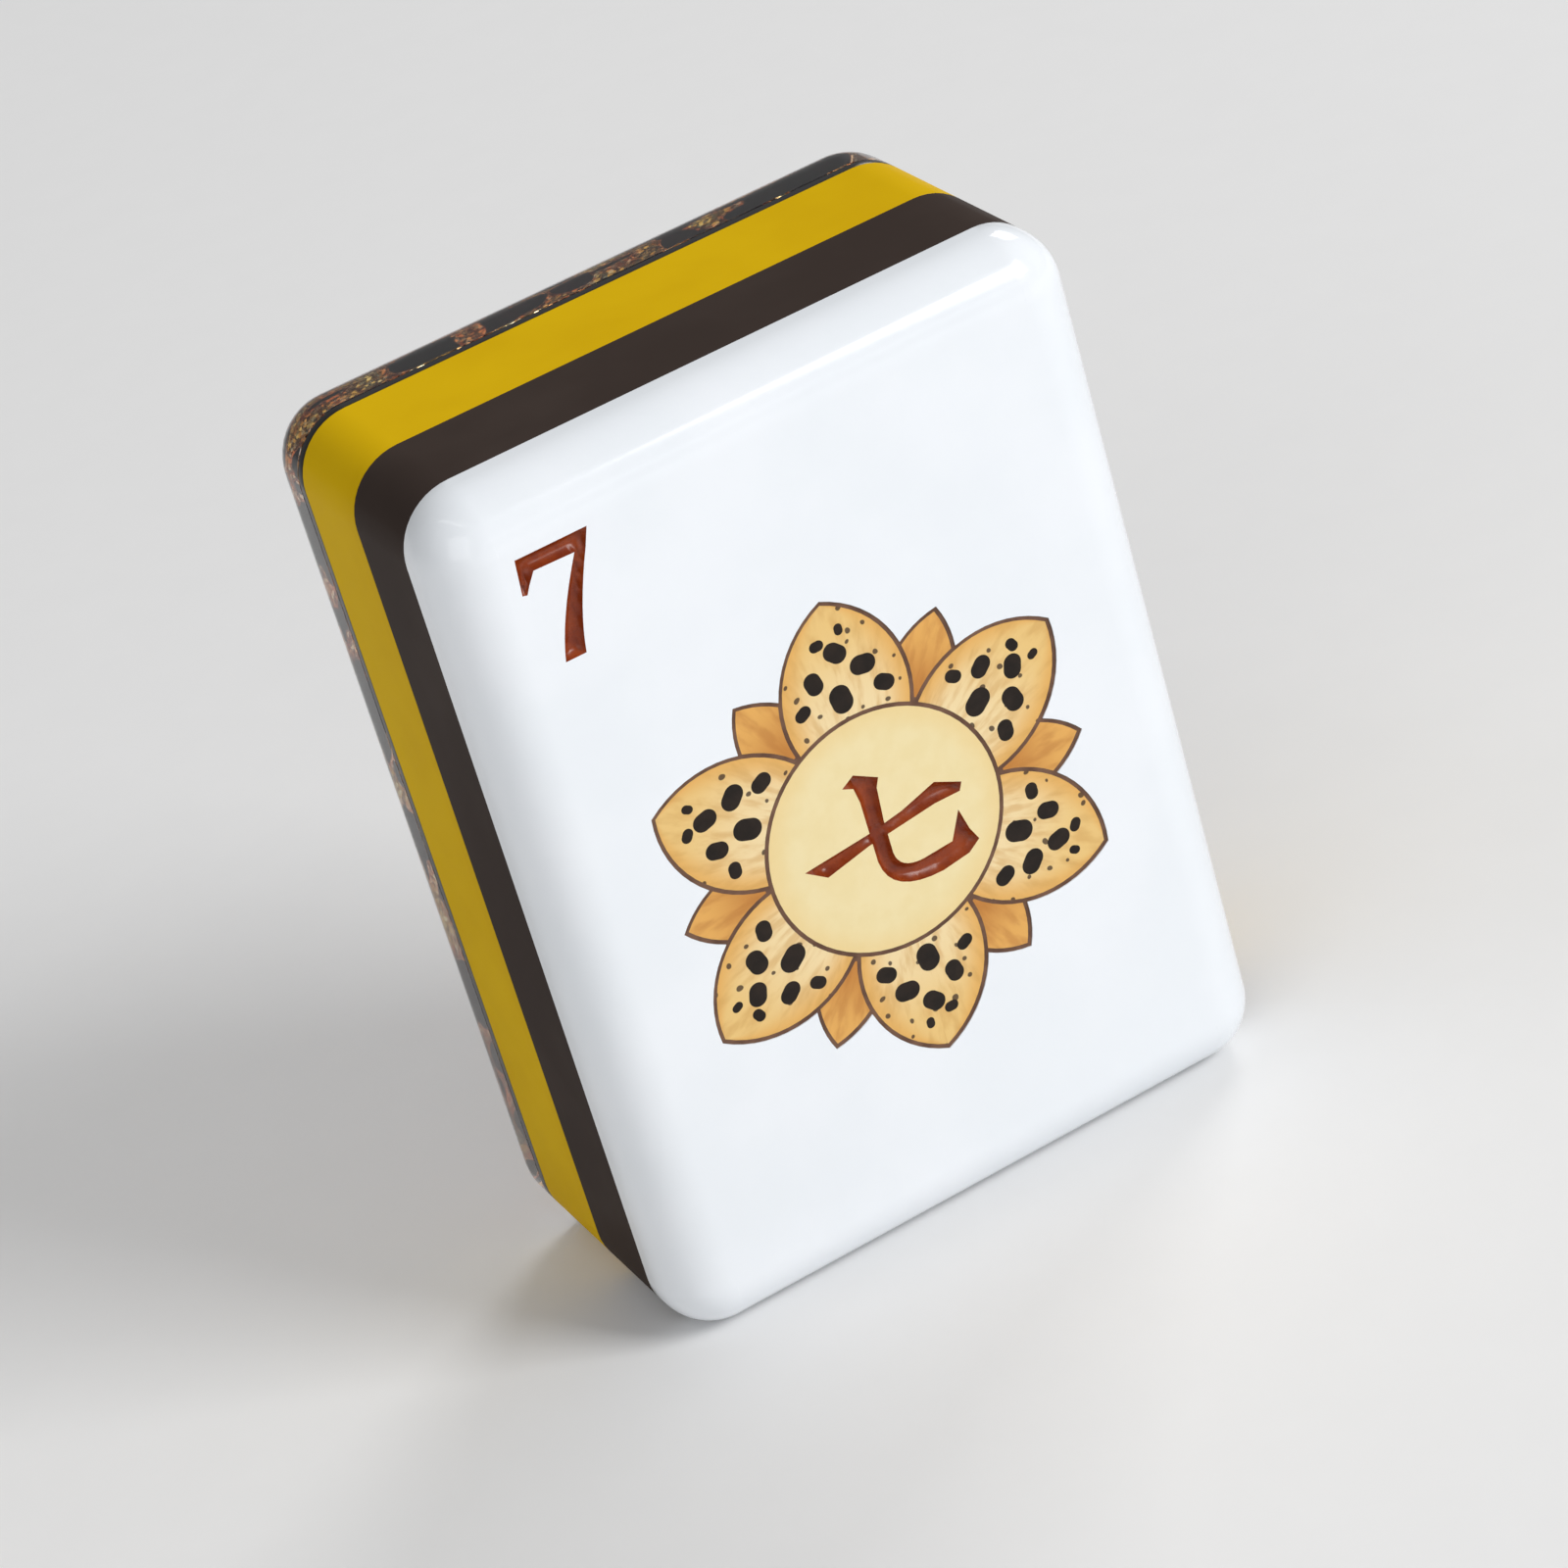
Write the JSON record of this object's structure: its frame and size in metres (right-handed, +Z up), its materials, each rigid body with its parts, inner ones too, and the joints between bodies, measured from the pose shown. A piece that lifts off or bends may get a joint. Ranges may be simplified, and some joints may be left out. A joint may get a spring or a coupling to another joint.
{
  "type": "mahjong tile",
  "caption": "Upright mahjong tile of bonded plastic layers, with a painted engraved face and a leopard-print back under a clear cap.",
  "frame": {"origin": "middle of the short bottom side that the upright tile stands on", "axes": "+Z up along the tile's height, the engraved face looks along -Y, the clear back along +Y, +X across the width"},
  "size_m": [0.022, 0.013, 0.03],
  "materials": {
    "face_block": "polished white acrylic",
    "dark_layer": "polished black-brown acrylic",
    "yellow_layer": "polished golden yellow acrylic",
    "backing_sheet": "black sheet",
    "print_film": "gold and copper glitter with black leopard spots",
    "clear_cap": "polished clear acrylic",
    "red_brown_paint": "enamel paint in the engraving",
    "disc_paint": "pale yellow enamel paint",
    "line_paint": "brown enamel paint",
    "petal_paint": "tan enamel paint",
    "spot_paint": "black-brown enamel paint",
    "sepal_paint": "orange enamel paint"
  },
  "bodies": {
    "root": {"face_block": "face_block", "dark_layer": "dark_layer", "yellow_layer": "yellow_layer", "backing_sheet": "backing_sheet", "print_film": "print_film", "clear_cap": "clear_cap", "numeral_paint": "red_brown_paint", "character_paint": "red_brown_paint", "disc_paint": "disc_paint", "disc_line_paint": "line_paint", "petal_paint": "petal_paint", "petal_line_paint": "line_paint", "petal_spot_paint": "spot_paint", "sepal_paint": "sepal_paint"}
  },
  "joints": []
}
